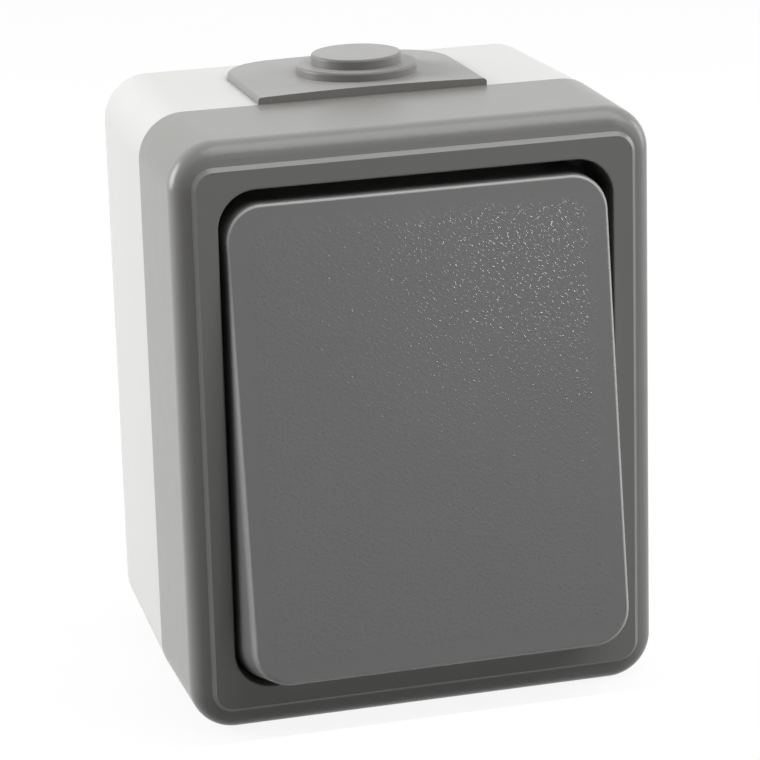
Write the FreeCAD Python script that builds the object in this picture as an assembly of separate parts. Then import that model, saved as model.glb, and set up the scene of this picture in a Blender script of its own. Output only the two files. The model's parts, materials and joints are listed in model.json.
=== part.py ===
"""Surface-mounted weatherproof rocker switch: housing, rocker and change-over mechanism.

Lengths are millimetres and angles degrees. +Z is up, the wall is the plane y = 0 and the front
looks along -Y. A depth is a distance from the wall, so depth = -y. Pieces that tilt are drawn
at mid-travel and then turned to rest, with the rocker's top pressed in.
"""

import FreeCAD, Part
import math
import os

# Back box and cover, outside
housing_width = 66.0
housing_height = 82.0
box_depth = 28.0
cover_depth = 21.0
corner_radius = 6.2
side_draft = 1.0             # each side of the box stands this much further in at the wall
end_draft = 0.5              # the same for its top and bottom
wall = 2.2
back_wall = 2.5

# Rim between the box and the cover
rim_lip = 1.2                # outer part of the box's wall, on which the cover sits
gasket_height = 1.5
tongue_height = 1.0          # rib under the cover's rim that presses the gasket
fit_gap = 0.1                # clearance between pieces that are put together by hand
running_gap = 0.05           # clearance round a pin that turns or slides

# Front of the cover
edge_radius = 2.8
band_drop = 0.7              # the band round the raised face slopes back this much to the side
front_wall = 2.2
face_margin_side = 2.55      # from the side of the cover to the raised face
face_margin_end = 3.05       # from its top and bottom to the raised face
face_rise = 0.6
face_corner_radius = 3.0
face_chamfer = 0.52
frame_width = 3.3            # raised face, from its edge to the opening
opening_corner_radius = 5.2
opening_edge_radius = 0.25
tray_depth = 12.0            # raised face to the deck behind the rocker
tray_wall = 1.8
deck_thickness = 2.0

# Rocker
rocker_side_gap = 0.85
rocker_end_gap = 2.3
rocker_corner_radius = 5.0
rocker_edge_radius = 0.5
rocker_depth = 10.5
rocker_draft = 0.45          # the skirt's rear edge stands this much further in
rocker_face_thickness = 2.0
rocker_skirt = 1.8
rocker_tilt = 7.9            # each way from mid-travel
rocker_pivot_setback = 0.2   # raised face of the cover to the pivot
rocker_face_lead = 4.5       # pivot to the front of the rocker
rocker_pin_radius = 1.1
pin_chamfer = 0.3
rocker_lug_radius = 2.0
rocker_lug_thickness = 2.0
hinge_post_spacing = 28.0    # between the middles of the two posts on the deck
hinge_post_radius = 2.1
hinge_post_thickness = 2.6
hinge_side_gap = 0.4         # lug to post
drive_rib_spacing = 19.0
drive_rib_width = 12.0
drive_rib_thickness = 2.0
stiffener_height = 3.0
stiffener_thickness = 1.2

# Cable grommet
slot_radius = 10.0
slot_setback = 11.6          # parting line to the centre of the cable entry
plate_side_overlap = 6.2     # outer plate beyond the slot, at each side
plate_rear_overlap = 3.1     # outer plate beyond the slot, at the rear
plate_corner_radius = 7.2
plate_thickness = 0.95
plate_crown = 0.3
plate_edge_radius = 0.5
flange_overlap = 2.0         # inner flange beyond the slot
flange_thickness = 1.5
disc_shift = 0.8             # discs to the right of the plate's middle
large_disc_radius = 8.5
large_disc_rise = 1.2
small_disc_radius = 6.3
small_disc_rise = 1.4
disc_edge_radius = 0.35
disc_wall = 1.1

# Wall fixing holes and bottom break-out
fixing_spacing = 60.0
fixing_hole_radius = 2.25
fixing_collar_radius = 4.5
fixing_collar_height = 1.5
breakout_radius = 8.0
breakout_groove = 0.6        # width of the scored ring
breakout_score = 0.5         # depth of the scored ring

# Screws and their pillars
pillar_radius = 3.2
pillar_rib_thickness = 1.6
pillar_rib_setback = 3.0     # top of the rib below the pillar's end
screw_radius = 1.5
screw_head_radius = 2.9
screw_head_height = 2.2
screw_bite = 9.0             # length of screw inside its pillar
screw_head_rounding = 0.45   # share of the head's height that is rounded
recess_share = 0.7           # cross recess, as a share of the head's radius
recess_width = 0.8
recess_depth = 1.3
cover_screw_x = 20.0
cover_screw_z = 25.5
screw_seal_thickness = 0.8
screw_seal_margin = 0.3      # seal ring beyond the screw's head

# Sealing membrane
membrane_flange = 1.0
membrane_wall = 0.8
membrane_room = 0.8          # deck window beyond the membrane's hat
touch_gap = 0.05             # play between the rocker's ribs, the membrane and the yoke

# Mechanism base and bearing plate
base_width = 38.4
base_height = 39.0
base_floor = 3.0
base_outer_wall = 1.5
chamber_width = 17.6
chamber_height = 30.0
chamber_wall = 1.7           # between the contact chamber and a terminal bay
ear_reach = 2.9              # side of the base to the centre of its screw
ear_height = 7.0
ear_thickness = 3.0
plate_width = 24.4
plate_screw_spacing = 34.0
plate_screw_radius = 1.1
plate_screw_head_radius = 2.0
plate_screw_bite = 8.0

# Yoke, plunger and spring
yoke_setback = 2.0           # front of the bearing plate to the yoke's pivot
yoke_width = 15.6
yoke_length = 26.0
yoke_side_room = 0.9         # free space round the yoke in its window
yoke_end_room = 1.3
yoke_corner_radius = 1.5
yoke_pad_lead = 5.2          # pivot to the front of the yoke
yoke_pad_thickness = 3.0
yoke_hub_radius = 2.7
yoke_pin_radius = 1.5
yoke_pin_length = 3.2
yoke_stem_radius = 3.4
yoke_stem_reach = 6.5        # pivot to the open end of the stem
spring_seat_lead = 2.5       # pivot to the closed end of the stem's bore
plunger_radius = 2.0
plunger_reach = 10.0         # pivot to the plunger's tip
plunger_length = 8.5
plunger_wall = 0.5
plunger_gap = 0.05           # tip to the blade at mid-travel
spring_wire_radius = 0.2
spring_radius = 1.15
spring_pitch = 1.4

# Contacts and terminals
contact_tilt = 6.0           # each way from mid-travel
contact_arm = 11.0           # blade's pivot to its contacts
contact_gap = 0.05
blade_width = 5.6
blade_overhang = 2.2         # blade beyond its contacts
blade_thickness = 0.8
edge_round = 0.35            # rounded edge that the blade rocks on
dome_radius = 1.6
dome_height = 0.8
rivet_radius = 1.7
rivet_height = 0.8
strip_width = 4.8
strip_thickness = 0.8
edge_foot = 2.4              # foot of the rounded edge on the common strip
block_width = 6.2
block_height = 7.6
block_depth = 8.0
bay_gap = 0.4                # round a terminal block in its bay
wire_hole_radius = 1.6
wire_hole_setback = 3.0      # strip to the centre of the wire hole
terminal_screw_radius = 1.5
terminal_head_radius = 2.5
terminal_head_height = 1.8

# Places that follow from the sizes above
cover_front = box_depth + cover_depth
band_front = cover_front - face_rise
shelf = box_depth - tongue_height - gasket_height
face_width = housing_width - 2 * face_margin_side
face_height = housing_height - 2 * face_margin_end
opening_width = face_width - 2 * frame_width
opening_height = face_height - 2 * frame_width
deck_front = cover_front - tray_depth
deck_back = deck_front - deck_thickness
rocker_width = opening_width - 2 * rocker_side_gap
rocker_height = opening_height - 2 * rocker_end_gap
rocker_pivot = cover_front - rocker_pivot_setback
rocker_front = rocker_pivot + rocker_face_lead
post_near = hinge_post_spacing / 2 - hinge_post_thickness / 2
post_far = hinge_post_spacing / 2 + hinge_post_thickness / 2
plate_front = deck_back - membrane_flange
yoke_pivot = plate_front - yoke_setback
base_front = yoke_pivot - yoke_pin_radius - running_gap
window_width = yoke_width + 2 * yoke_side_room
window_height = yoke_length + 2 * yoke_end_room
cap_lead = yoke_pad_lead + touch_gap + membrane_wall
tilt_cos = math.cos(math.radians(rocker_tilt))
drive_rib_reach = (rocker_pivot - yoke_pivot) * tilt_cos - cap_lead - touch_gap
blade_front = yoke_pivot - plunger_reach - plunger_gap
contact_pivot = blade_front - blade_thickness
dome_sphere = (dome_radius ** 2 + dome_height ** 2) / (2 * dome_height)
contact_cos = math.cos(math.radians(contact_tilt))
contact_sin = math.sin(math.radians(contact_tilt))
dome_centre = contact_pivot + (dome_sphere - dome_height) * contact_cos - contact_arm * contact_sin
rivet_front = dome_centre - dome_sphere - contact_gap
strip_front = rivet_front - rivet_height
chamber_floor = strip_front - strip_thickness
base_back = chamber_floor - base_floor
bay_near = chamber_width / 2 + chamber_wall
bay_far = base_width / 2 - base_outer_wall
terminal_x = (bay_near + bay_far) / 2
block_front = strip_front + block_depth
ear_screw_x = base_width / 2 + ear_reach
overrun = 1.0                # cutting tools pass this far beyond a face
same_place = 0.001           # places closer than this are the same


def point(x, depth, z):
    """A point given by its distance from the wall."""
    return FreeCAD.Vector(x, -depth, z)


def block(x_low, x_high, depth_back, depth_front, z_low, z_high):
    """Square-edged block."""
    corner = FreeCAD.Vector(x_low, -depth_front, z_low)
    return Part.makeBox(x_high - x_low, depth_front - depth_back, z_high - z_low, corner)


def bar(x, z, radius, depth_back, depth_front):
    """Round bar that runs from the wall side to the front."""
    start = point(x, depth_back, z)
    return Part.makeCylinder(radius, depth_front - depth_back, start, FreeCAD.Vector(0, -1, 0))


def cross_bar(x_low, x_high, radius, depth, z=0.0):
    """Round bar that runs from left to right."""
    return Part.makeCylinder(radius, x_high - x_low, point(x_low, depth, z), FreeCAD.Vector(1, 0, 0))


def rounded_rectangle(width, height, radius, depth):
    """Wire of a rectangle with round corners, seen from the front."""
    half_x = width / 2
    half_z = height / 2
    inner_x = half_x - radius
    inner_z = half_z - radius
    mid_x = inner_x + radius * math.sqrt(0.5)
    mid_z = inner_z + radius * math.sqrt(0.5)
    corners = [(1, 1), (1, -1), (-1, -1), (-1, 1)]
    edges = []
    for index, (sx, sz) in enumerate(corners):
        on_end = point(sx * inner_x, depth, sz * half_z)
        on_side = point(sx * half_x, depth, sz * inner_z)
        first, last = (on_end, on_side) if sx == sz else (on_side, on_end)
        middle = point(sx * mid_x, depth, sz * mid_z)
        edges.append(Part.Arc(first, middle, last).toShape())
        next_x, next_z = corners[(index + 1) % 4]
        if next_x == sx:
            target = point(next_x * half_x, depth, next_z * inner_z)
        else:
            target = point(next_x * inner_x, depth, next_z * half_z)
        edges.append(Part.LineSegment(last, target).toShape())
    return Part.Wire(edges)


def prism(width, height, radius, depth_back, depth_front):
    """Straight block with rounded corners."""
    face = Part.Face(rounded_rectangle(width, height, radius, depth_back))
    return face.extrude(FreeCAD.Vector(0, depth_back - depth_front, 0))


def box_slab(depth_back, depth_front, inset):
    """Slice of the drafted back box, with its skin moved inwards by the inset."""
    wires = []
    for depth in (depth_back, depth_front):
        narrowing = 1 - depth / box_depth
        width = housing_width - 2 * side_draft * narrowing - 2 * inset
        height = housing_height - 2 * end_draft * narrowing - 2 * inset
        wires.append(rounded_rectangle(width, height, corner_radius - inset, depth))
    return Part.makeLoft(wires, True, True)


def edges_at_depth(shape, depth):
    """Edges of a shape that lie in the plane at this depth."""
    low = -depth - same_place
    high = -depth + same_place
    return [e for e in shape.Edges if e.BoundBox.YMin > low and e.BoundBox.YMax < high]


def tilted(shape, pivot_depth, angle):
    """The shape turned about a left-to-right axis: a positive angle brings its top forward."""
    turned = shape.copy()
    turned.rotate(point(0, pivot_depth, 0), FreeCAD.Vector(1, 0, 0), angle)
    return turned


def at_rest_with_rocker(shape, pivot_depth):
    """A piece drawn at mid-travel, turned to rest with its top pressed in."""
    return tilted(shape, pivot_depth, -rocker_tilt)


def pan_screw(x, z, seat, shank_end, radius, head_radius, head_height, cross=True):
    """Screw with a domed head on its seat and a driver recess."""
    head = bar(x, z, head_radius, seat, seat + head_height)
    head = head.makeFillet(head_height * screw_head_rounding, edges_at_depth(head, seat + head_height))
    screw = head.fuse(bar(x, z, radius, shank_end, seat))
    half = recess_width / 2
    length = head_radius * recess_share if cross else head_radius + overrun
    floor = seat + head_height - recess_depth
    top = seat + head_height + overrun
    screw = screw.cut(block(x - length, x + length, floor, top, z - half, z + half))
    if cross:
        screw = screw.cut(block(x - half, x + half, floor, top, z - length, z + length))
    return screw.removeSplitter()


# Housing

def back_box():
    """Drafted box with screw pillars, fixing holes and a slot for the grommet."""
    shell = box_slab(0, box_depth, 0).cut(box_slab(back_wall, box_depth + overrun, wall))
    shell = shell.cut(box_slab(shelf, box_depth + overrun, rim_lip))
    additions = []
    bores = []
    collar_front = back_wall + fixing_collar_height
    root = back_wall / 2
    for side in (-1, 1):
        collar_z = side * fixing_spacing / 2
        additions.append(bar(0, collar_z, fixing_collar_radius, root, collar_front))
        bores.append(bar(0, collar_z, fixing_hole_radius, -overrun, collar_front + overrun))
        insert_pillar = (side * ear_screw_x, 0, base_back)
        cover_pillar = (-side * cover_screw_x, side * cover_screw_z, deck_back)
        for x, z, front in (insert_pillar, cover_pillar):
            additions.append(bar(x, z, pillar_radius, root, front))
            additions.append(pillar_rib(x, z, front))
            bores.append(pillar_bore(x, z, front))
    shell = shell.fuse(additions).cut(bores)
    slot = grommet_outline(slot_radius, slot_radius, slot_radius, -wall - overrun, overrun)
    return shell.cut([on_box_top(slot), breakout_ring()]).removeSplitter()


def breakout_ring():
    """Scored ring in the bottom of the box, where a second cable entry can be knocked out."""
    depth = box_depth - slot_setback
    skin = -housing_height / 2 + end_draft * slot_setback / box_depth
    start = point(0, depth, skin - overrun)
    height = breakout_score + overrun
    disc = Part.makeCylinder(breakout_radius, height, start)
    return disc.cut(Part.makeCylinder(breakout_radius - breakout_groove, height, start))


def pillar_bore(x, z, front):
    """Hole for a screw in the front end of a pillar."""
    return bar(x, z, screw_radius + running_gap, front - screw_bite - overrun, front + overrun)


def pillar_rib(x, z, front):
    """Web from a pillar to the side wall next to it."""
    reach = math.copysign(housing_width / 2 - side_draft - wall / 2, x)
    low, high = sorted((x, reach))
    half = pillar_rib_thickness / 2
    return block(low, high, back_wall / 2, min(front, shelf) - pillar_rib_setback, z - half, z + half)


def on_box_top(shape):
    """A piece drawn level at the parting line, laid on the drafted top of the box."""
    slope = math.degrees(math.atan2(end_draft, box_depth))
    placed = shape.copy()
    placed.rotate(point(0, box_depth, housing_height / 2), FreeCAD.Vector(1, 0, 0), -slope)
    return placed


def grommet_outline(half_width, rear_reach, radius, low, high):
    """Tongue-shaped slab with a round rear end, from the parting line towards the wall."""
    level = housing_height / 2 + low
    front = box_depth
    rear = box_depth - slot_setback - rear_reach
    diagonal = radius * (1 - math.sqrt(0.5))
    left_front = point(-half_width, front, level)
    left_rear = point(-half_width, rear + radius, level)
    left_arc = point(-half_width + diagonal, rear + diagonal, level)
    right_front = point(half_width, front, level)
    right_rear = point(half_width, rear + radius, level)
    right_arc = point(half_width - diagonal, rear + diagonal, level)
    rear_left = point(-half_width + radius, rear, level)
    rear_right = point(half_width - radius, rear, level)
    edges = [
        Part.LineSegment(right_front, left_front).toShape(),
        Part.LineSegment(left_front, left_rear).toShape(),
        Part.Arc(left_rear, left_arc, rear_left).toShape(),
    ]
    if half_width > radius:
        edges.append(Part.LineSegment(rear_left, rear_right).toShape())
    edges.append(Part.Arc(rear_right, right_arc, right_rear).toShape())
    edges.append(Part.LineSegment(right_rear, right_front).toShape())
    return Part.Face(Part.Wire(edges)).extrude(FreeCAD.Vector(0, 0, high - low))


def grommet_disc(radius, low, high):
    """Round step of the grommet, over the cable entry."""
    centre = point(disc_shift, box_depth - slot_setback, housing_height / 2 + low)
    return Part.makeCylinder(radius, high - low, centre)


def cable_grommet():
    """Soft plate that hooks into the slot, with two hollow steps to cut for the cable."""
    half_width = slot_radius + plate_side_overlap
    rear_reach = slot_radius + plate_rear_overlap
    crown_top = plate_thickness + plate_crown
    plate = grommet_outline(half_width, rear_reach, plate_corner_radius, 0, crown_top)
    crown_radius = (half_width ** 2 + plate_crown ** 2) / (2 * plate_crown)
    crown_axis = point(0, box_depth + overrun, housing_height / 2 + crown_top - crown_radius)
    crown = Part.makeCylinder(crown_radius, 2 * box_depth, crown_axis, FreeCAD.Vector(0, 1, 0))
    plate = plate.common(crown)
    lowest = housing_height / 2 + plate_thickness / 2
    behind = -box_depth + same_place
    rims = [e for e in plate.Edges if e.BoundBox.ZMin > lowest and e.BoundBox.YMax > behind]
    plate = plate.makeFillet(plate_edge_radius, rims)
    large_top = crown_top + large_disc_rise
    small_top = large_top + small_disc_rise
    for radius, top in ((large_disc_radius, large_top), (small_disc_radius, small_top)):
        disc = grommet_disc(radius, plate_thickness / 2, top)
        rim = [e for e in disc.Edges if e.BoundBox.ZMin > housing_height / 2 + top - same_place]
        plate = plate.fuse(disc.makeFillet(disc_edge_radius, rim))
    neck = slot_radius - fit_gap
    grommet = plate.fuse(grommet_outline(neck, neck, neck, -wall - flange_thickness, 0))
    flange = slot_radius + flange_overlap
    grommet = grommet.fuse(grommet_outline(flange, flange, flange, -wall - flange_thickness, -wall))
    bottom = -wall - flange_thickness - overrun
    grommet = grommet.cut(grommet_disc(large_disc_radius - disc_wall, bottom, large_top - disc_wall))
    grommet = grommet.cut(grommet_disc(small_disc_radius - disc_wall, bottom, small_top - disc_wall))
    beyond_rim = block(-half_width, half_width, box_depth, box_depth + overrun, 0, housing_height)
    grommet = on_box_top(grommet).cut([box_slab(shelf, box_depth + overrun, rim_lip), beyond_rim])
    return grommet.removeSplitter()


def cover_gasket():
    """Square-section ring on the shelf inside the box's rim."""
    outer = box_slab(shelf, shelf + gasket_height, rim_lip + running_gap)
    return outer.cut(box_slab(shelf - overrun, box_depth, wall))


def cover_frame():
    """Moulded cover: rounded outside, raised face, and a tray with a deck behind the rocker."""
    band_edge = band_front - band_drop
    outer = prism(housing_width, housing_height, corner_radius, box_depth, band_edge)
    side_rim = rounded_rectangle(housing_width, housing_height, corner_radius, band_edge)
    face_rim = rounded_rectangle(face_width, face_height, face_corner_radius, band_front)
    outer = outer.fuse(Part.makeLoft([side_rim, face_rim], True, True)).removeSplitter()
    outer = outer.makeFillet(edge_radius, edges_at_depth(outer, band_edge))
    raised = prism(face_width, face_height, face_corner_radius, band_front - edge_radius, cover_front)
    opening = prism(opening_width, opening_height, opening_corner_radius, deck_front, cover_front + overrun)
    raised = raised.makeChamfer(face_chamfer, edges_at_depth(raised, cover_front)).cut(opening)
    rims = edges_at_depth(raised, cover_front)
    mouth = [e for e in rims if e.distToShape(opening)[0] < same_place]
    raised = raised.makeFillet(opening_edge_radius, mouth)
    inner_radius = corner_radius - wall
    cavity = prism(housing_width - 2 * wall, housing_height - 2 * wall, inner_radius,
                   box_depth - overrun, band_front - front_wall)
    tray = prism(opening_width + 2 * tray_wall, opening_height + 2 * tray_wall,
                 opening_corner_radius + tray_wall, deck_back, band_front)
    tongue = box_slab(box_depth - tongue_height, box_depth, rim_lip + fit_gap)
    tongue = tongue.cut(box_slab(shelf, box_depth + overrun, wall))
    cover = outer.fuse(raised).cut(cavity).fuse([tray, tongue])
    posts = [hinge_post(side) for side in (-1, 1)]
    hat_width = window_width + 2 * membrane_wall
    hat_height = window_height + 2 * membrane_wall
    cuts = [
        opening,
        prism(hat_width + 2 * membrane_room, hat_height + 2 * membrane_room,
              yoke_corner_radius + membrane_room, deck_back - overrun, deck_front + overrun),
    ]
    for side in (-1, 1):
        hole_x = -side * cover_screw_x
        hole_z = side * cover_screw_z
        cuts.append(bar(hole_x, hole_z, screw_radius + fit_gap, deck_back - overrun, deck_front + overrun))
    return cover.cut(cuts).fuse(posts).removeSplitter()


def hinge_post(side):
    """Upright on the deck with a round top and a hole for the rocker's pin."""
    low, high = sorted((side * post_near, side * post_far))
    root = deck_front - deck_thickness / 2
    post = block(low, high, root, rocker_pivot, -hinge_post_radius, hinge_post_radius)
    post = post.fuse(cross_bar(low, high, hinge_post_radius, rocker_pivot))
    return post.cut(cross_bar(low - overrun, high + overrun, rocker_pin_radius + running_gap, rocker_pivot))


def cover_screws():
    """Two screws through the deck into the box, on opposite corners."""
    seat = deck_front + screw_seal_thickness
    end = deck_back - screw_bite
    screws = []
    for side in (-1, 1):
        screws.append(pan_screw(-side * cover_screw_x, side * cover_screw_z, seat, end,
                                screw_radius, screw_head_radius, screw_head_height))
    return Part.makeCompound(screws)


def cover_screw_seals():
    """Soft rings between the cover screws' heads and the deck."""
    seals = []
    for side in (-1, 1):
        x = -side * cover_screw_x
        z = side * cover_screw_z
        front = deck_front + screw_seal_thickness
        ring = bar(x, z, screw_head_radius + screw_seal_margin, deck_front, front)
        hole = bar(x, z, screw_radius + running_gap, deck_back, front + overrun)
        seals.append(ring.cut(hole))
    return Part.makeCompound(seals)


# Rocker

def rocker():
    """Wide key with a hollow back, two drive ribs and two lugs with hinge pins."""
    back = rocker_front - rocker_depth
    rear_width = rocker_width - 2 * rocker_draft
    rear_height = rocker_height - 2 * rocker_draft
    rear = rounded_rectangle(rear_width, rear_height, rocker_corner_radius, back)
    front = rounded_rectangle(rocker_width, rocker_height, rocker_corner_radius, rocker_front)
    key = Part.makeLoft([rear, front], True, True)
    key = key.makeFillet(rocker_edge_radius, edges_at_depth(key, rocker_front))
    inside = rocker_front - rocker_face_thickness
    inner_width = rocker_width - 2 * rocker_skirt
    inner_height = rocker_height - 2 * rocker_skirt
    inner_radius = rocker_corner_radius - rocker_skirt
    key = key.cut(prism(inner_width, inner_height, inner_radius, back - overrun, inside))
    rib_tip = rocker_pivot - drive_rib_reach
    root = inside + rocker_face_thickness / 2
    half_width = drive_rib_width / 2
    additions = []
    for side in (-1, 1):
        rib_z = side * drive_rib_spacing / 2
        half = drive_rib_thickness / 2
        additions.append(block(-half_width, half_width, rib_tip, root, rib_z - half, rib_z + half))
        low, high = sorted((side * half_width, side * (half_width - stiffener_thickness)))
        reach = inner_height / 2 + rocker_skirt / 2
        additions.append(block(low, high, inside - stiffener_height, root, -reach, reach))
        additions.append(rocker_lug(side, root))
    key = key.fuse(additions).removeSplitter()
    return at_rest_with_rocker(key, rocker_pivot)


def rocker_lug(side, root):
    """Lug behind the face, with a chamfered pin that snaps into its post on the deck."""
    lug_far = post_near - hinge_side_gap
    lug_near = lug_far - rocker_lug_thickness
    low, high = sorted((side * lug_near, side * lug_far))
    lug = block(low, high, rocker_pivot, root, -rocker_lug_radius, rocker_lug_radius)
    lug = lug.fuse(cross_bar(low, high, rocker_lug_radius, rocker_pivot))
    low, high = sorted((side * lug_near, side * post_far))
    pin = cross_bar(low, high, rocker_pin_radius, rocker_pivot)
    outermost = post_far - same_place
    rim = [e for e in pin.Edges if min(abs(e.BoundBox.XMin), abs(e.BoundBox.XMax)) > outermost]
    return lug.fuse(pin.makeChamfer(pin_chamfer, rim))


# Mechanism housing

def sealing_membrane():
    """Soft flange clamped under the deck, with a hat that follows the yoke."""
    flange = prism(plate_width - 2 * fit_gap, base_height - 2 * fit_gap, yoke_corner_radius,
                   plate_front, deck_back)
    foot_width = window_width + 2 * membrane_wall
    foot_height = window_height + 2 * membrane_wall
    top_width = foot_width - membrane_wall
    top_height = foot_height - membrane_wall
    foot_radius = yoke_corner_radius + membrane_wall
    outer_foot = rounded_rectangle(foot_width, foot_height, foot_radius, deck_back - membrane_flange / 2)
    outer_top = rounded_rectangle(top_width, top_height, foot_radius, yoke_pivot + cap_lead)
    inner_foot = rounded_rectangle(window_width, window_height, yoke_corner_radius, plate_front)
    inner_top = rounded_rectangle(window_width - membrane_wall, window_height - membrane_wall,
                                  yoke_corner_radius, yoke_pivot + cap_lead - membrane_wall)
    outer = Part.makeLoft([outer_foot, at_rest_with_rocker(outer_top, yoke_pivot)], True, True)
    inner = Part.makeLoft([inner_foot, at_rest_with_rocker(inner_top, yoke_pivot)], True, True)
    return flange.fuse(outer).cut(inner).removeSplitter()


def contact_strips():
    """Outlines of the three contact strips: name and blocks of each one."""
    half = strip_width / 2
    near = -half
    far = terminal_x + block_width / 2
    upper = [block(near, far, chamber_floor, strip_front, contact_arm - half, contact_arm + half)]
    lower = [block(near, far, chamber_floor, strip_front, -contact_arm - half, -contact_arm + half)]
    leg_x = terminal_x - block_width / 2
    common = [
        block(-far, half, chamber_floor, strip_front, -half, half),
        block(-far, -leg_x, chamber_floor, strip_front, -half, contact_arm + half),
    ]
    return {"upper": upper, "lower": lower, "common": common}


def terminal_places():
    """Centre of each terminal block, seen from the front."""
    return {
        "upper": (terminal_x, contact_arm),
        "lower": (terminal_x, -contact_arm),
        "common": (-terminal_x, contact_arm),
    }


def mechanism_base():
    """Insert with a contact chamber, three terminal bays and two ears."""
    half_width = base_width / 2
    half_height = base_height / 2
    base = block(-half_width, half_width, base_back, base_front, -half_height, half_height)
    cuts = [block(-chamber_width / 2, chamber_width / 2, chamber_floor, base_front + overrun,
                  -chamber_height / 2, chamber_height / 2)]
    bay_half = block_height / 2 + bay_gap
    for name, (x, z) in terminal_places().items():
        low_x, high_x = sorted((math.copysign(bay_near, x), math.copysign(bay_far, x)))
        low_z = -strip_width / 2 - fit_gap if name == "common" else z - bay_half
        cuts.append(block(low_x, high_x, chamber_floor, base_front + overrun, low_z, z + bay_half))
        wire_depth = strip_front + wire_hole_setback
        outwards = FreeCAD.Vector(0, 0, math.copysign(1, z))
        start = point(x, wire_depth, z)
        cuts.append(Part.makeCylinder(wire_hole_radius, half_height, start, outwards))
    passage_half = strip_width / 2 + fit_gap
    passage_front = strip_front + fit_gap
    for side, z in ((1, contact_arm), (1, -contact_arm), (-1, 0)):
        low_x, high_x = sorted((0, side * bay_far))
        cuts.append(block(low_x, high_x, chamber_floor, passage_front, z - passage_half, z + passage_half))
    ear_front = base_back + ear_thickness
    ear_half = ear_height / 2
    plate_hole = plate_screw_radius + running_gap
    plate_hole_end = base_front - plate_screw_bite - overrun
    for side in (-1, 1):
        ear_x = side * ear_screw_x
        low_x, high_x = sorted((side * half_width, ear_x))
        base = base.fuse(block(low_x, high_x, base_back, ear_front, -ear_half, ear_half))
        base = base.fuse(bar(ear_x, 0, ear_half, base_back, ear_front))
        cuts.append(bar(ear_x, 0, screw_radius + fit_gap, base_back - overrun, ear_front + overrun))
        plate_z = side * plate_screw_spacing / 2
        cuts.append(bar(0, plate_z, plate_hole, plate_hole_end, base_front + overrun))
    return base.cut(cuts).removeSplitter()


def bearing_plate():
    """Front plate of the insert, with a window for the yoke and a notch for each of its pins."""
    plate = prism(plate_width, base_height, yoke_corner_radius, base_front, plate_front)
    cuts = [prism(window_width, window_height, yoke_corner_radius,
                  base_front - overrun, plate_front + overrun)]
    notch = yoke_pin_radius + running_gap
    notch_end = yoke_width / 2 + yoke_pin_length + fit_gap
    cuts.append(cross_bar(-notch_end, notch_end, notch, yoke_pivot))
    cuts.append(block(-notch_end, notch_end, base_front - overrun, yoke_pivot, -notch, notch))
    hole = plate_screw_radius + running_gap
    for side in (-1, 1):
        plate_z = side * plate_screw_spacing / 2
        cuts.append(bar(0, plate_z, hole, base_front - overrun, plate_front))
        cuts.append(countersink(plate_z, plate_screw_head_radius + running_gap, hole))
    return plate.cut(cuts).removeSplitter()


def countersink(z, head_radius, shank_radius):
    """Cone that opens to the front of the bearing plate."""
    height = head_radius - shank_radius
    start = point(0, plate_front - height, z)
    return Part.makeCone(shank_radius, head_radius, height, start, FreeCAD.Vector(0, -1, 0))


def bearing_plate_screws():
    """Two countersunk screws, flush with the bearing plate."""
    screws = []
    for side in (-1, 1):
        z = side * plate_screw_spacing / 2
        head = countersink(z, plate_screw_head_radius, plate_screw_radius)
        shank = bar(0, z, plate_screw_radius, base_front - plate_screw_bite, plate_front)
        half = recess_width / 4
        slot = block(-plate_screw_head_radius, plate_screw_head_radius,
                     plate_front - recess_depth / 2, plate_front + overrun, z - half, z + half)
        screws.append(head.fuse(shank).cut(slot).removeSplitter())
    return Part.makeCompound(screws)


def mechanism_screws():
    """Two screws through the ears into the box's pillars."""
    seat = base_back + ear_thickness
    end = base_back - screw_bite
    screws = []
    for side in (-1, 1):
        screws.append(pan_screw(side * ear_screw_x, 0, seat, end,
                                screw_radius, screw_head_radius, screw_head_height))
    return Part.makeCompound(screws)


# Yoke, plunger and spring

def yoke():
    """See-saw with a pin at each side and a hollow stem for the plunger."""
    pad_front = yoke_pivot + yoke_pad_lead
    pad_back = pad_front - yoke_pad_thickness
    see_saw = prism(yoke_width, yoke_length, yoke_corner_radius, pad_back, pad_front)
    hub = cross_bar(-yoke_width / 2, yoke_width / 2, yoke_hub_radius, yoke_pivot)
    web = block(-yoke_width / 2, yoke_width / 2, yoke_pivot, pad_back, -yoke_hub_radius, yoke_hub_radius)
    pin_end = yoke_width / 2 + yoke_pin_length
    pins = cross_bar(-pin_end, pin_end, yoke_pin_radius, yoke_pivot)
    stem_end = yoke_pivot - yoke_stem_reach
    stem = bar(0, 0, yoke_stem_radius, stem_end, pad_back)
    bore = bar(0, 0, plunger_radius + running_gap, stem_end - overrun, yoke_pivot + spring_seat_lead)
    shape = see_saw.fuse([hub, web, pins, stem]).cut(bore).removeSplitter()
    return at_rest_with_rocker(shape, yoke_pivot)


def plunger():
    """Hollow round-nosed cap that slides in the yoke's stem."""
    tip_centre = yoke_pivot - plunger_reach + plunger_radius
    open_end = yoke_pivot - plunger_reach + plunger_length
    body = bar(0, 0, plunger_radius, tip_centre, open_end)
    nose = Part.makeSphere(plunger_radius, point(0, tip_centre, 0))
    bore = bar(0, 0, plunger_radius - plunger_wall, tip_centre + plunger_wall, open_end + overrun)
    return at_rest_with_rocker(body.fuse(nose).cut(bore).removeSplitter(), yoke_pivot)


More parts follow.
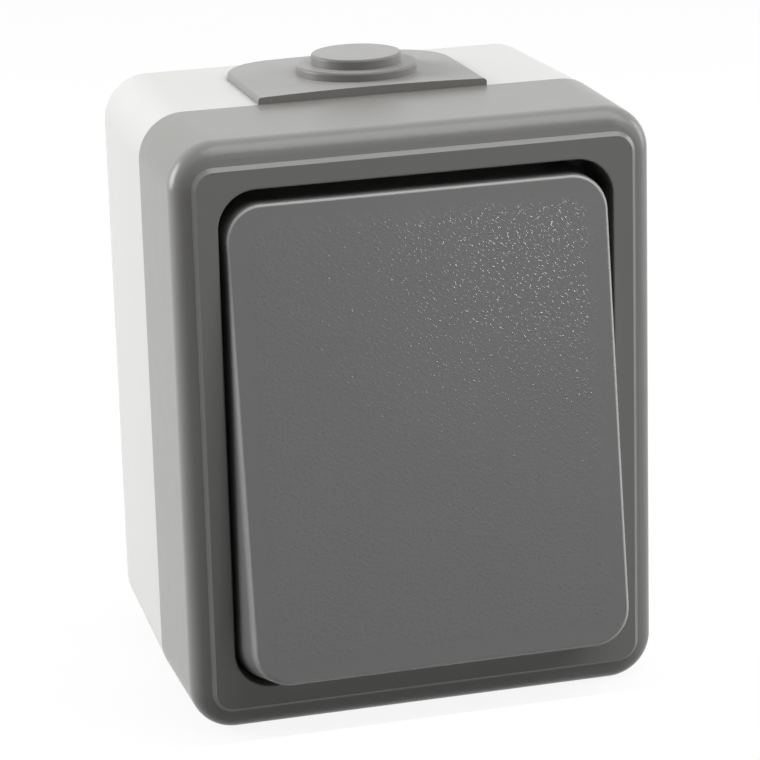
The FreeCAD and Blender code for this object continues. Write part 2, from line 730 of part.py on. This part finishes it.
def plunger_spring():
    """Open coil spring between the plunger's floor and the end of the stem's bore."""
    seat_back = yoke_pivot - plunger_reach + plunger_radius + plunger_wall
    seat_front = yoke_pivot + spring_seat_lead
    height = seat_front - seat_back - 2 * spring_wire_radius
    coil = Part.makeHelix(spring_pitch, height, spring_radius)
    start = FreeCAD.Vector(spring_radius, 0, 0)
    section = Part.Wire(Part.makeCircle(spring_wire_radius, start, FreeCAD.Vector(0, 1, 0)))
    spring = Part.Wire(coil).makePipeShell([section], True, True)
    spring.rotate(FreeCAD.Vector(0, 0, 0), FreeCAD.Vector(1, 0, 0), 90)
    spring.translate(point(0, seat_back + spring_wire_radius, 0))
    return at_rest_with_rocker(spring, yoke_pivot)


# Contacts and terminals

def contact_blade():
    """Flat blade with a groove across its back, rocking on the common strip's rounded edge."""
    half = contact_arm + blade_overhang
    blade = prism(blade_width, 2 * half, blade_width / 4, contact_pivot, blade_front)
    groove = cross_bar(-blade_width, blade_width, edge_round + running_gap, contact_pivot)
    return tilted(blade.cut(groove), contact_pivot, contact_tilt)


def moving_contacts():
    """Domed contacts on the back of the blade."""
    domes = []
    for side in (-1, 1):
        z = side * contact_arm
        sphere = Part.makeSphere(dome_sphere, point(0, contact_pivot + dome_sphere - dome_height, z))
        slab = bar(0, z, dome_radius, contact_pivot - dome_height - overrun, contact_pivot)
        domes.append(sphere.common(slab))
    return tilted(Part.makeCompound(domes), contact_pivot, contact_tilt)


def fixed_contacts():
    """Flat contacts on the upper and lower strips."""
    rivets = [bar(0, side * contact_arm, rivet_radius, strip_front, rivet_front) for side in (-1, 1)]
    return Part.makeCompound(rivets)


def common_contact():
    """Angled strip with a rounded edge that stands up from its middle."""
    blocks = contact_strips()["common"]
    strip = blocks[0].fuse(blocks[1:])
    half = strip_width / 2
    corners = [
        point(-half, strip_front, -edge_foot / 2),
        point(-half, contact_pivot, -edge_round),
        point(-half, contact_pivot, edge_round),
        point(-half, strip_front, edge_foot / 2),
    ]
    profile = Part.Face(Part.makePolygon(corners + corners[:1]))
    wedge = profile.extrude(FreeCAD.Vector(strip_width, 0, 0))
    edge = cross_bar(-half, half, edge_round, contact_pivot)
    return strip.fuse([wedge, edge]).removeSplitter()


def contact_strip(name):
    """Straight strip from a fixed contact to its terminal."""
    return contact_strips()[name][0]


def terminal_block(name):
    """Brass block with a wire hole and a screw hole that meets it."""
    x, z = terminal_places()[name]
    body = prism(block_width, block_height, bay_gap, strip_front, block_front)
    body.translate(FreeCAD.Vector(x, 0, z))
    wire_depth = strip_front + wire_hole_setback
    start = point(x, wire_depth, z - block_height)
    wire_hole = Part.makeCylinder(wire_hole_radius, 2 * block_height, start)
    screw_hole = bar(x, z, terminal_screw_radius + running_gap, wire_depth, block_front + overrun)
    return body.cut([wire_hole, screw_hole])


def terminal_screws():
    """One slotted screw in each terminal block."""
    end = strip_front + wire_hole_setback + wire_hole_radius / 2
    screws = []
    for x, z in terminal_places().values():
        screws.append(pan_screw(x, z, block_front, end, terminal_screw_radius,
                                terminal_head_radius, terminal_head_height, cross=False))
    return Part.makeCompound(screws)


pieces = {
    "back_box": back_box(),
    "cable_grommet": cable_grommet(),
    "cover_gasket": cover_gasket(),
    "cover_frame": cover_frame(),
    "cover_screws": cover_screws(),
    "cover_screw_seals": cover_screw_seals(),
    "rocker": rocker(),
    "sealing_membrane": sealing_membrane(),
    "mechanism_base": mechanism_base(),
    "bearing_plate": bearing_plate(),
    "bearing_plate_screws": bearing_plate_screws(),
    "mechanism_screws": mechanism_screws(),
    "yoke": yoke(),
    "plunger": plunger(),
    "plunger_spring": plunger_spring(),
    "contact_blade": contact_blade(),
    "moving_contacts": moving_contacts(),
    "fixed_contacts": fixed_contacts(),
    "common_contact": common_contact(),
    "upper_contact": contact_strip("upper"),
    "lower_contact": contact_strip("lower"),
    "common_terminal": terminal_block("common"),
    "upper_terminal": terminal_block("upper"),
    "lower_terminal": terminal_block("lower"),
    "terminal_screws": terminal_screws(),
}

os.makedirs("parts", exist_ok=True)
for name, shape in pieces.items():
    shape.exportStep("parts/" + name + ".step")
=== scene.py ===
"""Looks of a surface-mounted weatherproof rocker switch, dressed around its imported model.

Lengths are metres. The wall is the plane y = 0, +Z is up and the front looks along -Y.
"""
import bpy
import json
import math
from mathutils import Matrix, Vector


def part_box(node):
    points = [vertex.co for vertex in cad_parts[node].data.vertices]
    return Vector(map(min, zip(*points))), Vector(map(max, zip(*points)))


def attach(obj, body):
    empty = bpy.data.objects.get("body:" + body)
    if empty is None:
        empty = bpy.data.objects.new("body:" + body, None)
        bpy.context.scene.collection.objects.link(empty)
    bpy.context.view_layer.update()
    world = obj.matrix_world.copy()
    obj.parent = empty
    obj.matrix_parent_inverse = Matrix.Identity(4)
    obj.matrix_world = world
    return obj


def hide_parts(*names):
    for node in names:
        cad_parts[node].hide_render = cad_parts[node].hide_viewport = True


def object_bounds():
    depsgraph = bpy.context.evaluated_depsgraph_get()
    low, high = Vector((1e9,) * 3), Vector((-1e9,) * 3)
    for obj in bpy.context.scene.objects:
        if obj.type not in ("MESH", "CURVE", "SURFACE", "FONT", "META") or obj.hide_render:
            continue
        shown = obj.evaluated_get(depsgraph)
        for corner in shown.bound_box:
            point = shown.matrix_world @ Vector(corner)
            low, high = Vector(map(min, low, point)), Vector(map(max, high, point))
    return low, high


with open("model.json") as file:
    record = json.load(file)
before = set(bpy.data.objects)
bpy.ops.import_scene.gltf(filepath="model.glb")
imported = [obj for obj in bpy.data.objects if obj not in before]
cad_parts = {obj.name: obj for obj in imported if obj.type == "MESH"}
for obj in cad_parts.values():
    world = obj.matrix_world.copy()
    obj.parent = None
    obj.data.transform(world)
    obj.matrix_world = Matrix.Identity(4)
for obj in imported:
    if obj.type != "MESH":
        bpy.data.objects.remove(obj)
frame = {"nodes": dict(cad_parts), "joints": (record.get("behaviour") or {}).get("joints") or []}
nodes = frame["nodes"]
cad_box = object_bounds()
MM = 0.001


# Back box: one pale moulding of weatherproof plastic, drafted so that it leaves its mould.
# Its outside is finely spark-eroded, which gives an even satin with a trace of unevenness.
# Two screws through its rear wall hold it to the wall.
class Channel:
    """A shader socket that can be used in sums and products."""

    def __init__(self, tree, socket):
        self.tree = tree
        self.socket = socket

    def node(self, kind, sockets=None, output=0, **settings):
        """Any node: its settings are set first, then the values or links of its sockets."""
        node = self.tree.nodes.new("ShaderNode" + kind)
        for name, value in settings.items():
            setattr(node, name, value)
        for name, value in (sockets or {}).items():
            if isinstance(value, Channel):
                self.tree.links.new(value.socket, node.inputs[name])
            else:
                node.inputs[name].default_value = value
        return Channel(self.tree, node.outputs[output] if node.outputs else None)

    def math(self, operation, other=0.0, third=0.0):
        return self.node("Math", {0: self, 1: other, 2: third}, operation=operation)

    def __add__(self, other):
        return self.math("ADD", other)

    __radd__ = __add__

    def __sub__(self, other):
        return self.math("SUBTRACT", other)

    def __rsub__(self, other):
        return (self * -1.0) + other

    def __mul__(self, other):
        return self.math("MULTIPLY", other)

    __rmul__ = __mul__

    def __abs__(self):
        return self.math("ABSOLUTE")

    def step(self, low, high):
        """0 below low, 1 above high, smooth between."""
        sockets = {"Value": self, "From Min": low, "From Max": high}
        return self.node("MapRange", sockets, interpolation_type="SMOOTHSTEP")

    def axis(self, name):
        """One of X, Y and Z of a vector."""
        return self.node("SeparateXYZ", {"Vector": self}, output="XYZ".index(name))

    def noise(self, size, detail=2.0, roughness=0.5):
        """Smooth noise from 0 to 1 with features of about this size."""
        sockets = {"Vector": self, "Scale": 1.0 / size, "Detail": detail, "Roughness": roughness}
        return self.node("TexNoise", sockets)

    def tint(self, dark, light):
        """Colour between two others, by this value."""
        colours = {0: self, 6: (*dark, 1.0), 7: (*light, 1.0)}
        return self.node("Mix", colours, output=2, data_type="RGBA")


def new_finish(name):
    """An empty material and the place on the piece, in metres."""
    material = bpy.data.materials.new(name)
    material.use_nodes = True
    material.node_tree.nodes.clear()
    start = Channel(material.node_tree, None)
    return material, start.node("TexCoord", output=3)


def close_finish(material, place, bump, **values):
    """Principled surface: values by socket name, and a height in metres for its bump."""
    sockets = {name.replace("_", " "): value for name, value in values.items()}
    if bump is not None:
        sockets["Normal"] = place.node("Bump", {"Height": bump, "Distance": 1.0, "Strength": 1.0})
    surface = place.node("BsdfPrincipled", sockets)
    place.node("OutputMaterial", {"Surface": surface})
    return material


def dress(finish, slot, *names):
    """Gives CAD nodes this finish; the slot argument is not used."""
    for name in names:
        nodes[name].data.materials.clear()
        nodes[name].data.materials.append(finish)


def moulded(name, colour, shift, roughness, grain, height):
    """Moulded plastic: faint flow shading, uneven gloss and a fine eroded grain."""
    material, place = new_finish(name)
    flow = place.noise(18 * MM, 3.0)
    patches = place.noise(3 * MM, 3.0)
    dark = [c * (1 - shift) for c in colour]
    light = [c * (1 + shift) for c in colour]
    skin = place.noise(grain, 2.0) * height + place.noise(7 * grain, 1.0) * (1.5 * height)
    return close_finish(
        material, place, skin,
        Base_Color=(0.7 * flow + 0.3 * patches).tint(dark, light),
        Roughness=roughness + 0.08 * (patches - 0.5),
        IOR=1.5,
    )


box_plastic = moulded("box_plastic", (0.74, 0.74, 0.72), 0.02, 0.42, 0.22 * MM, 0.0014 * MM)
dress(box_plastic, "box_plastic", "back_box")


# Mechanism base and bearing plate: the insert's two mouldings of stiff, heat-proof plastic.
# They keep the dull skin of the mould, and two small screws join them.
insert_plastic = moulded("insert_plastic", (0.62, 0.61, 0.57), 0.04, 0.55, 0.3 * MM, 0.003 * MM)
dress(insert_plastic, "insert_plastic", "mechanism_base", "bearing_plate")


# Contact strips, blade and terminal blocks: brass, stamped from strip or sawn from bar.
# The rolling direction shows as fine lines, and the surface has begun to tarnish.
def drawn_metal(name, bright, dull, roughness, stretch):
    """Rolled or drawn metal: fine lines along one axis and patches of tarnish."""
    material, place = new_finish(name)
    lines = place.node("VectorMath", {0: place, 1: stretch}, operation="MULTIPLY").noise(0.2 * MM, 3.0)
    tarnish = place.noise(4 * MM, 4.0).step(0.35, 0.7)
    return close_finish(
        material, place, lines * (0.002 * MM),
        Base_Color=tarnish.tint(bright, dull),
        Roughness=roughness + 0.12 * tarnish + 0.1 * (lines - 0.5),
        Metallic=1.0,
    )


contact_brass = drawn_metal("contact_brass", (0.78, 0.57, 0.28), (0.60, 0.42, 0.20), 0.28, (1, 1, 0.08))
dress(contact_brass, "contact_brass", "common_contact", "upper_contact", "lower_contact", "contact_blade",
      "common_terminal", "upper_terminal", "lower_terminal")


# Contact rivets: silver alloy, pressed to domes and flats, with a faint grey film.
# The domed ones are riveted into the blade, the flat ones into the two contact strips.
contact_silver = drawn_metal("contact_silver", (0.82, 0.81, 0.78), (0.62, 0.60, 0.57), 0.2, (1, 1, 1))
dress(contact_silver, "contact_silver", "moving_contacts", "fixed_contacts")


# Yoke and plunger: mouldings of a slippery ivory plastic, glossy where it slides.
# The yoke turns on its pins in the insert, and the plunger slides in the yoke's stem.
plunger_plastic = moulded("plunger_plastic", (0.75, 0.73, 0.66), 0.03, 0.3, 0.4 * MM, 0.0015 * MM)
dress(plunger_plastic, "plunger_plastic", "yoke", "plunger")


# Plunger spring: hard-drawn steel wire with draw marks along it, coiled cold.
# It sits in the plunger and presses on the closed end of the stem's bore.
spring_steel = drawn_metal("spring_steel", (0.50, 0.50, 0.51), (0.36, 0.35, 0.34), 0.32, (1, 0.2, 1))
dress(spring_steel, "spring_steel", "plunger_spring")


# Screws: cold-headed and zinc-plated steel, bright with a cloudy passivated film.
# They hold the cover, the insert, the insert's front plate and the wires.
screw_steel = drawn_metal("screw_steel", (0.66, 0.66, 0.68), (0.52, 0.52, 0.50), 0.3, (1, 1, 1))
dress(screw_steel, "screw_steel", "cover_screws", "mechanism_screws", "bearing_plate_screws",
      "terminal_screws")


# Gasket, seal rings and membrane: black moulded rubber, matt, with a trace of bloom.
# The cover and its screws squeeze the first two, and the membrane lies over the yoke.
def moulded_rubber(name, colour, bloom, roughness, sheen):
    """Soft rubber: a dusty bloom in patches and a fine matt grain."""
    material, place = new_finish(name)
    dust = place.noise(6 * MM, 4.0).step(0.3, 0.75)
    grain = place.noise(0.25 * MM, 2.0)
    return close_finish(
        material, place, grain * (0.003 * MM),
        Base_Color=dust.tint(colour, bloom),
        Roughness=roughness + 0.1 * (dust - 0.5),
        IOR=1.48,
        Sheen_Weight=sheen,
        Sheen_Roughness=0.4,
    )


seal_rubber = moulded_rubber("seal_rubber", (0.028, 0.028, 0.028), (0.04, 0.04, 0.039), 0.7, 0.05)
dress(seal_rubber, "seal_rubber", "cover_gasket", "cover_screw_seals", "sealing_membrane")


# Cable grommet: soft grey rubber with two stepped discs, moulded in one piece.
# It hooks into the slot in the top of the box.
grommet_rubber = moulded_rubber("grommet_rubber", (0.2, 0.197, 0.188), (0.215, 0.21, 0.2), 0.44, 0.5)
dress(grommet_rubber, "grommet_rubber", "cable_grommet")


# Cover: one grey moulding with a rounded edge and a raised face round the rocker.
# It has the same fine satin as the box, and two hidden screws hold it.
cover_plastic = moulded("cover_plastic", (0.285, 0.282, 0.27), 0.02, 0.3, 0.2 * MM, 0.001 * MM)
dress(cover_plastic, "cover_plastic", "cover_frame")


# Rocker: a wide key of darker grey plastic on two hidden pins, with its top pressed in.
# Its face has a coarse pebbled grain that glints, inside a smooth rim. A pale painted highlight runs
# along its front edges, and painted shade darkens its skirt towards the rear.
# Its skirt opens towards the rear, so a copy of the imported key is widened there and stands for it.
ROCKER_TILT = math.radians(7.9)
FACE_LEAD = 4.5 * MM
FACE_CORNER = 5.0 * MM
KEY_DEPTH = 10.5 * MM
SKIRT_WALL = 1.9 * MM
FLARE_X = 0.033
FLARE_Z = 0.058
RIM_WIDTH = 2.6 * MM
RIM_WANDER = 3.8 * MM
GRAIN_SIZE = 0.36 * MM
GRAIN_SLANT = math.radians(-40)
GRAIN_SHAPE = (0.7, 1.0, 1.15)
GRAIN_HEIGHT = 0.023 * MM
UNEVEN_HEIGHT = 0.016 * MM
FINE_HEIGHT = 0.0008 * MM
# KEY_PALE is the colour of the painted edge highlight; KEY_DULL is the dark end that the painted skirt
# shade darkens towards.
KEY_DULL = (0.13, 0.132, 0.131)
KEY_PALE = (0.72, 0.72, 0.71)

rocker_hinge = next(j for j in frame["joints"] if j["name"] == "rocker_tilt")
hinge = Vector(rocker_hinge["pos_m"])
levelled = Matrix.Rotation(ROCKER_TILT, 3, "X")
rocker_low, rocker_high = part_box("rocker")
face_half_width = (rocker_high.x - rocker_low.x) / 2
face_half_height = max((levelled @ (vertex.co - hinge)).z for vertex in nodes["rocker"].data.vertices)


def rocker_finish():
    """Pebbled face inside a smooth rim, in the rocker's own tilted place."""
    material, place = new_finish("rocker_plastic")
    settings = {"Vector": place, "Center": hinge, "Axis": (1, 0, 0), "Angle": ROCKER_TILT}
    level = place.node("VectorRotate", settings)
    beyond_x = abs(level.axis("X")) - (face_half_width - FACE_CORNER)
    beyond_z = abs(level.axis("Z")) - (face_half_height - FACE_CORNER)
    out_x = beyond_x.math("MAXIMUM", 0.0)
    out_z = beyond_z.math("MAXIMUM", 0.0)
    corner = (out_x * out_x + out_z * out_z).math("SQRT")
    inside = beyond_x.math("MAXIMUM", beyond_z).math("MINIMUM", 0.0)
    edge = (corner + inside - FACE_CORNER) * -1.0
    depth = level.axis("Y") + (FACE_LEAD - hinge.y)
    # Painted highlight: a pale line painted along the key's front edge, within about half a millimetre of
    # its outline and a few tenths of a millimetre of its face.
    painted_edge_highlight = (1.0 - edge.step(0.26 * MM, 0.5 * MM)) * (1.0 - depth.step(0.1 * MM, 0.3 * MM))
    # Painted shade: the skirt is painted darker the further it lies behind the face, where shade falls in
    # the gap round the key.
    skirt = depth.step(0.3 * MM, 2.6 * MM)
    ragged = edge + (place.noise(2.4 * MM) - 0.5) * RIM_WANDER
    pebbled = ragged.step(RIM_WIDTH - 0.8 * MM, RIM_WIDTH + 1.6 * MM)
    slanted = level.node("VectorRotate", {"Vector": level, "Axis": (0, 1, 0), "Angle": GRAIN_SLANT})
    drawn = slanted.node("VectorMath", {0: slanted, 1: GRAIN_SHAPE}, operation="MULTIPLY")
    grain = drawn.noise(GRAIN_SIZE, 1.0)
    polished = grain.step(0.58, 0.64) * pebbled
    uneven = place.noise(0.7 * MM)
    fine = place.noise(0.2 * MM)
    flow = place.noise(15 * MM, 3.0)
    # The key's tone: faint flow marks, plus the painted edge highlight and the painted skirt shade.
    paleness = 0.235 + 0.05 * flow + 0.7 * painted_edge_highlight - 0.24 * skirt
    return close_finish(
        material, place, (grain * GRAIN_HEIGHT + uneven * UNEVEN_HEIGHT) * pebbled + fine * FINE_HEIGHT,
        Base_Color=paleness.tint(KEY_DULL, KEY_PALE),
        Roughness=0.4 - 0.27 * polished,
        IOR=1.5,
    )


def in_skirt(place):
    """Whether a place in the level key lies in its skirt."""
    beside = abs(place.x) > face_half_width - SKIRT_WALL
    return beside or abs(place.z) > face_half_height - SKIRT_WALL


def flare(place):
    """How much wider and taller the skirt becomes at this depth."""
    share = (place.y + FACE_LEAD) / KEY_DEPTH
    return 1 + FLARE_X * share, 1 + FLARE_Z * share


def flared_key():
    """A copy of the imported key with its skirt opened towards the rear."""
    mesh = nodes["rocker"].data.copy()
    tilted = levelled.transposed()
    normals = [levelled @ corner.vector for corner in mesh.corner_normals]
    places = [levelled @ (vertex.co - hinge) for vertex in mesh.vertices]
    for corner, normal in zip(mesh.loops, normals):
        place = places[corner.vertex_index]
        if in_skirt(place):
            wider, taller = flare(place)
            normal.x /= wider
            normal.z /= taller
            normal.y -= (place.x * FLARE_X * normal.x + place.z * FLARE_Z * normal.z) / KEY_DEPTH
        normal.normalize()
    for vertex, place in zip(mesh.vertices, places):
        if in_skirt(place):
            wider, taller = flare(place)
            vertex.co = hinge + tilted @ Vector((place.x * wider, place.y, place.z * taller))
    mesh.normals_split_custom_set([tilted @ normal for normal in normals])
    key = bpy.data.objects.new("rocker_key", mesh)
    bpy.context.scene.collection.objects.link(key)
    return key


rocker_key = flared_key()
rocker_key.data.materials.clear()
rocker_key.data.materials.append(rocker_finish())
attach(rocker_key, "rocker")
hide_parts("rocker")


# Studio: light comes from a white sweep behind and under the switch and a dim room in front of it.
# To the camera, and in what shines or is clear, the world is white on every side.
# A wide lamp hangs above, the key stands at the upper right, one lamp fills from each side,
# and a small one near the lens makes the rocker's grain glint.
FLOOR_REACH = 1.5
FLOOR_FRONT = -0.052
FLOOR_GREY = 0.12
FLOOR_GLOW = 0.9
floor_level = cad_box[0][2]
middle = Vector((0, -24.5 * MM, 0))

floor_mesh = bpy.data.meshes.new("floor")
floor_outline = [(-FLOOR_REACH, FLOOR_FRONT), (FLOOR_REACH, FLOOR_FRONT), (FLOOR_REACH, FLOOR_REACH),
                 (-FLOOR_REACH, FLOOR_REACH)]
floor_corners = [(x, y, floor_level) for x, y in floor_outline]
floor_mesh.from_pydata(floor_corners, [], [(0, 1, 2, 3)])
floor = bpy.data.objects.new("floor", floor_mesh)
bpy.context.scene.collection.objects.link(floor)

floor_paint, floor_place = new_finish("floor_paint")
lit = floor_place.node("BsdfDiffuse", {"Color": (FLOOR_GREY, FLOOR_GREY, FLOOR_GREY, 1.0)})
ray_kinds = ("Is Camera Ray", "Is Glossy Ray", "Is Transmission Ray")
seen = sum(floor_place.node("LightPath", output=kind) for kind in ray_kinds)
glow = floor_place.node("Emission", {"Color": (1, 1, 1, 1), "Strength": seen * FLOOR_GLOW})
both = floor_place.node("AddShader", {0: lit, 1: glow})
floor_place.node("OutputMaterial", {"Surface": both})
floor_mesh.materials.append(floor_paint)

world = bpy.data.worlds.new("studio")
world.use_nodes = True
world.node_tree.nodes.clear()
bpy.context.scene.world = world
sky = Channel(world.node_tree, None).node("TexCoord", output=0)
behind = sky.axis("Y").step(-0.15, 0.4)
sweep = behind * (0.94 - 0.6 * sky.axis("Z").step(0.6, 0.9)) + 0.03
strength = sweep.math("MAXIMUM", sum(sky.node("LightPath", output=kind) for kind in ray_kinds))
background = sky.node("Background", {"Color": (1, 1, 1, 1), "Strength": strength})
sky.node("OutputWorld", {"Surface": background})


def softbox(name, offset, width, height, watts):
    """Rectangular lamp at this offset from the middle of the switch, which it faces."""
    lamp = bpy.data.lights.new(name, "AREA")
    lamp.shape = "RECTANGLE"
    lamp.size = width
    lamp.size_y = height
    lamp.energy = watts
    holder = bpy.data.objects.new(name, lamp)
    holder.location = middle + Vector(offset)
    holder.rotation_euler = (-Vector(offset)).to_track_quat("-Z", "Y").to_euler()
    bpy.context.scene.collection.objects.link(holder)


softbox("key_lamp", (0.45, -0.36, 0.5), 0.35, 0.35, 1.1)
softbox("overhead_lamp", (0.17, -0.22, 0.68), 0.6, 0.5, 2.6)
softbox("left_lamp", (-0.65, 0.28, 0.1), 0.35, 0.6, 5.4)
softbox("right_lamp", (0.7, 0.0, 0.1), 0.2, 0.5, 1.45)
softbox("lens_lamp", (0.221, -0.627, 0.045), 0.04, 0.04, 0.13)


# Camera: a long lens, a little above and to the left of the switch.
# Its place, turn and lens are those that fit the photo's edges best.
YAW = math.radians(-15.116)
PITCH = math.radians(17.149)
ROLL = math.radians(-1.609)
DISTANCE = 502.923 * MM
FOCAL_PIXELS = 3572.436
PICTURE_SIZE = 760
AXIS_PIXEL = (374.73, 374.676)

back = Vector((math.sin(YAW) * math.cos(PITCH), -math.cos(YAW) * math.cos(PITCH), math.sin(PITCH)))
level_right = Vector((math.cos(YAW), math.sin(YAW), 0))
level_up = back.cross(level_right)
right = math.cos(ROLL) * level_right + math.sin(ROLL) * level_up
up = -math.sin(ROLL) * level_right + math.cos(ROLL) * level_up
lens = bpy.data.cameras.new("camera")
lens.sensor_width = 36.0
lens.lens = FOCAL_PIXELS * lens.sensor_width / PICTURE_SIZE
lens.shift_x = (PICTURE_SIZE / 2 - AXIS_PIXEL[0]) / PICTURE_SIZE
lens.shift_y = (AXIS_PIXEL[1] - PICTURE_SIZE / 2) / PICTURE_SIZE
lens.clip_start = 0.01
camera = bpy.data.objects.new("camera", lens)
camera.matrix_world = Matrix((
    (right.x, up.x, back.x, middle.x + back.x * DISTANCE),
    (right.y, up.y, back.y, middle.y + back.y * DISTANCE),
    (right.z, up.z, back.z, middle.z + back.z * DISTANCE),
    (0, 0, 0, 1),
))
bpy.context.scene.collection.objects.link(camera)
bpy.context.scene.camera = camera
bpy.context.scene.view_settings.view_transform = "Standard"
